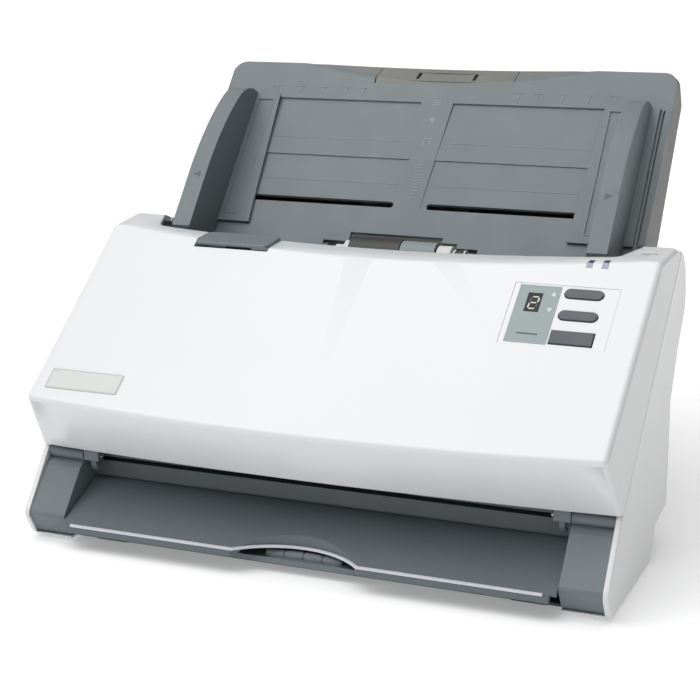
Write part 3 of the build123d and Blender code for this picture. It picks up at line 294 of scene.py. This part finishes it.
# ---------------------------------------------------------------- small meshes
def add_prism(bm, place, outline, z0, z1):
    """Adds an outline, given in millimetres on a plane, carried from z0 to z1."""
    low = [bm.verts.new(place @ Vector((x * MM, y * MM, z0 * MM))) for x, y in outline]
    high = [bm.verts.new(place @ Vector((x * MM, y * MM, z1 * MM))) for x, y in outline]
    bm.faces.new(low[::-1])
    bm.faces.new(high)
    for i in range(len(outline)):
        j = (i + 1) % len(outline)
        bm.faces.new((low[i], low[j], high[j], high[i]))


def round_edges(obj, width):
    edge = obj.modifiers.new("edge", "BEVEL")
    edge.width = width
    edge.segments = 2
    edge.limit_method = "ANGLE"
    edge.harden_normals = True


def prisms(name, place, outlines, span, material, body, edge=0.0):
    """Thin raised shapes on a plane, as one mesh that rides a body."""
    bm = bmesh.new()
    for outline in outlines:
        add_prism(bm, place, outline, *span)
    bmesh.ops.recalc_face_normals(bm, faces=bm.faces)
    mesh = bpy.data.meshes.new(name)
    bm.to_mesh(mesh)
    bm.free()
    obj = bpy.data.objects.new(name, mesh)
    bpy.context.collection.objects.link(obj)
    paint(obj, material)
    if edge:
        round_edges(obj, edge)
    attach(obj, body)


def rect(x0, x1, y0, y1):
    return [(x0, y0), (x1, y0), (x1, y1), (x0, y1)]


def frame_outlines(x0, x1, y0, y1, w):
    """Four bars round a rectangle."""
    return [rect(x0, x1, y0, y0 + w), rect(x0, x1, y1 - w, y1),
            rect(x0, x0 + w, y0 + w, y1 - w), rect(x1 - w, x1, y0 + w, y1 - w)]


# ---------------------------------------------------------------- control panel
# The middle of each bar of the digit, in halves of its width and height
BARS = {"a": (0, 1), "b": (1, 0.5), "c": (1, -0.5), "d": (0, -1), "e": (-1, -0.5), "f": (-1, 0.5),
        "g": (0, 0)}
LIT = "abged"
DIGIT_HALF_W, DIGIT_HALF_H = 2.0, 3.9
BAR_HALF, BAR_GAP = 0.42, 0.35     # half a bar's thickness, and the gap at its tips
DIGIT_SLANT = 0.09


def level_bar(y):
    """A bar across the digit, pointed at both ends."""
    tip = DIGIT_HALF_W - BAR_GAP
    end = tip - BAR_HALF
    return [(-tip, y), (-end, y + BAR_HALF), (end, y + BAR_HALF),
            (tip, y), (end, y - BAR_HALF), (-end, y - BAR_HALF)]


def upright_bar(x, y):
    """A bar up one side of the digit, pointed at both ends."""
    top = y + DIGIT_HALF_H / 2 - BAR_GAP
    foot = y - DIGIT_HALF_H / 2 + BAR_GAP
    return [(x, top), (x + BAR_HALF, top - BAR_HALF), (x + BAR_HALF, foot + BAR_HALF),
            (x, foot), (x - BAR_HALF, foot + BAR_HALF), (x - BAR_HALF, top - BAR_HALF)]


def digit():
    """A seven-segment digit behind the window, lit or dark bar by bar."""
    lit = []
    dark = []
    for key, (u, v) in BARS.items():
        x, y = u * DIGIT_HALF_W, v * DIGIT_HALF_H
        bar = upright_bar(x, y) if u else level_bar(y)
        slanted = [(px + DIGIT_SLANT * py, py) for px, py in bar]
        group = lit if key in LIT else dark
        group.append(slanted)
    prisms("digit_lit", DIGIT_PLANE, lit, LIT_BAR, DIGIT, "cover")
    prisms("digit_dark", DIGIT_PLANE, dark, DARK_BAR, DIGIT_DARK, "cover")


def label_marks():
    """The up and down marks beside the window, a plain rule where a word would be, and a rim."""
    up = [(6.2, 12.4), (9.0, 12.4), (7.6, 15.4)]
    down = [(6.2, 4.6), (7.6, 1.6), (9.0, 4.6)]
    rule = rect(-5.5, 5.5, -13.4, -12.6)
    rim = frame_outlines(-10.8, 10.8, -18.8, 18.8, 0.35)
    prisms("label_marks", LABEL_PLANE, [up, down], PRINT, MARK, "cover")
    prisms("label_rule", LABEL_PLANE, [rule], PRINT, MARK_DARK, "cover")
    prisms("label_border", LABEL_PLANE, rim, LABEL_RIM, LABEL_EDGE, "cover")


def plate_marks():
    rim = frame_outlines(-21.2, 21.2, -6.2, 6.2, 0.4)
    prisms("plate_border", PLATE_PLANE, rim, PLATE_RIM, PLATE_EDGE, "cover", FILM_EDGE)


# ---------------------------------------------------------------- chute
TICK_XS = (-104.0, -89.0, -74.0, -59.0, -48.0, 48.0, 59.0, 74.0, 89.0, 104.0)
FIELD_LINE_YS = (-53.0, -82.0)
FIELD_INNER, FIELD_OUTER = 10.5, 96.0
GUIDE_FOOT_INNER, GUIDE_FOOT_OUTER = 103.0, 113.0
GUIDE_EDGE = 120.5                 # middle of a guide's top edge, from the scanner's middle
ARROW_HALF = 2.0


def size_ticks():
    """Plain embossed ticks where the chute's sizes are marked, in a lighter grey that paints a highlight on
    them.
    """
    ticks = []
    for x in TICK_XS:
        ticks.append(rect(x - 0.5, x + 0.5, -21.5, -17.5))
        ticks.append(rect(x - 2.4, x + 2.4, -17.3, -16.6))
    prisms("size_ticks", CHUTE, ticks, TICK, GREY_RIDGE_HIGHLIGHT, "chute", MARK_EDGE)


def strip_marks():
    """Generic marks down the chute's middle: a stack, an arrow, a corner and a row of rules."""
    sheets = [rect(-2.6, 2.6, -24.6 - i * 1.5, -23.9 - i * 1.5) for i in range(3)]
    arrow = [(-2.2, -36.5), (2.2, -36.5), (0.0, -39.6)]
    corner = [rect(-2.2, 2.2, -51.0, -50.4), rect(-2.2, -1.6, -56.0, -51.0), rect(1.6, 2.2, -56.0, -51.0)]
    rules = [rect(-1.9, 1.9, -66.5 - i * 2.2, -66.0 - i * 2.2) for i in range(12)]
    marks = sheets + [arrow] + corner + rules
    prisms("strip_marks", CHUTE, marks, STRIP_PRINT, STRIP_MARK, "chute")


def handle_rim():
    """The rim round the finger slots on the chute extension's head."""
    rim = frame_outlines(-23.0, 23.0, 2.6, 14.0, 0.5)
    prisms("handle_rim", HEAD, rim, HANDLE_RIM, ARROW_MARK, "chute_puller")


def panel_lines():
    """Raised hairlines across the sunk fields, beside the middle strip, in a lighter grey that paints a
    highlight on them.
    """
    lines = []
    for y in FIELD_LINE_YS:
        for x0, x1 in ((-FIELD_OUTER, -FIELD_INNER), (FIELD_INNER, FIELD_OUTER)):
            lines.append(rect(x0, x1, y - 0.2, y + 0.2))
    prisms("field_lines", CHUTE, lines, FIELD_LINE, GREY_RIDGE_HIGHLIGHT, "chute")


def guide_marks(side, body):
    """A rim round the guide's foot, in a lighter grey that paints a highlight on it, and an arrow on its
    edge.
    """
    x0, x1 = sorted((side * GUIDE_FOOT_INNER, side * GUIDE_FOOT_OUTER))
    rim = frame_outlines(x0, x1, -109.0, -28.0, 0.6)
    prisms("guide_rim_" + body, CHUTE, rim, GUIDE_RIM, GREY_RIDGE_HIGHLIGHT, body, MARK_EDGE)
    edge = side * GUIDE_EDGE
    half = side * ARROW_HALF
    arrow = [(edge - half, -99.2), (edge + half, -101.2), (edge - half, -103.2)]
    place = CHUTE @ Matrix.Translation((0, 0, GUIDE_H * MM))
    prisms("guide_arrow_" + body, place, [arrow], GUIDE_ARROW, ARROW_MARK, body)


# ---------------------------------------------------------------- stage, light and camera
def area_light(name, place, side, power):
    """A square light turned to the scanner."""
    data = bpy.data.lights.new(name, "AREA")
    data.shape = "RECTANGLE"
    data.size = side
    data.size_y = side
    data.energy = power
    lamp = bpy.data.objects.new(name, data)
    bpy.context.collection.objects.link(lamp)
    lamp.location = place
    lamp.rotation_euler = (LIGHT_AIM - Vector(place)).to_track_quat("-Z", "Y").to_euler()


def floor_paint():
    """White paint that glows more with distance, so that the floor ends in white."""
    look = Look("floor_paint", (0.78, 0.78, 0.78), 0.9, Specular_IOR_Level=0.1)
    look.tint(look.spread(look.noise(3.0), 0.0, 1.0), (0.77, 0.77, 0.77), (0.79, 0.79, 0.79))
    place = look.add("ShaderNodeTexCoord")
    reach = look.add("ShaderNodeVectorMath")
    reach.operation = "LENGTH"
    look.link(place.outputs["Object"], reach.inputs[0])
    look.shader.inputs["Emission Color"].default_value = (1.0, 1.0, 1.0, 1.0)
    glow = look.spread(reach.outputs["Value"], *FLOOR_GLOW, *GLOW_REACH)
    look.link(glow, look.shader.inputs["Emission Strength"])
    return look.material


def stage():
    mesh = bpy.data.meshes.new("floor")
    bm = bmesh.new()
    bmesh.ops.create_circle(bm, cap_ends=True, radius=FLOOR_R, segments=96)
    bm.to_mesh(mesh)
    bm.free()
    floor = bpy.data.objects.new("floor", mesh)
    bpy.context.collection.objects.link(floor)
    paint(floor, floor_paint())
    bpy.context.scene.view_settings.view_transform = "Standard"
    area_light("top", (-0.3, -0.5, 1.6), 1.5, 15.5)
    area_light("key", (-1.0, -0.9, 1.1), 0.9, 3.5)


def fill_ramp(ramp, bands):
    """Sets a ramp's stops. It starts with two, and the others are added."""
    for stop, (height, level) in enumerate(bands):
        element = ramp.elements[stop] if stop < 2 else ramp.elements.new(height)
        element.position = height
        element.color = (level, level, level, 1.0)


def sky():
    """A white studio: bright overhead, dimmer round the sides and to the right, white at the horizon."""
    world = bpy.data.worlds.new("studio")
    world.use_nodes = True
    tree = world.node_tree
    background = tree.nodes["Background"]
    place = tree.nodes.new("ShaderNodeTexCoord")
    split = tree.nodes.new("ShaderNodeSeparateXYZ")
    ramp = tree.nodes.new("ShaderNodeValToRGB")
    dim = tree.nodes.new("ShaderNodeMapRange")
    fill_ramp(ramp.color_ramp, SKY_BANDS)
    dim.inputs["From Min"].default_value, dim.inputs["From Max"].default_value = SKY_TURN
    dim.inputs["To Min"].default_value = SKY
    dim.inputs["To Max"].default_value = SKY * SKY_RIGHT
    tree.links.new(place.outputs["Generated"], split.inputs["Vector"])
    tree.links.new(split.outputs["Z"], ramp.inputs["Fac"])
    tree.links.new(ramp.outputs["Color"], background.inputs["Color"])
    tree.links.new(split.outputs["X"], dim.inputs["Value"])
    tree.links.new(dim.outputs["Result"], background.inputs["Strength"])
    bpy.context.scene.world = world


def camera():
    azimuth, elevation = math.radians(AZIMUTH), math.radians(ELEVATION)
    forward = Vector((-math.sin(azimuth) * math.cos(elevation),
                      math.cos(azimuth) * math.cos(elevation), -math.sin(elevation)))
    data = bpy.data.cameras.new("camera")
    data.lens, data.sensor_width = FOCAL, SENSOR
    data.clip_start, data.clip_end = NEAR, FAR
    eye = bpy.data.objects.new("camera", data)
    bpy.context.collection.objects.link(eye)
    turn = forward.to_track_quat("-Z", "Y").to_matrix().to_4x4()
    eye.matrix_world = (Matrix.Translation(AIM - forward * DISTANCE) @ turn
                        @ Matrix.Rotation(math.radians(ROLL), 4, "Z"))
    bpy.context.scene.camera = eye


paint_nodes()
digit()
label_marks()
plate_marks()
size_ticks()
strip_marks()
handle_rim()
panel_lines()
guide_marks(-1, "left_guide")
guide_marks(1, "right_guide")
soften_nodes()
stage()
sky()
camera()
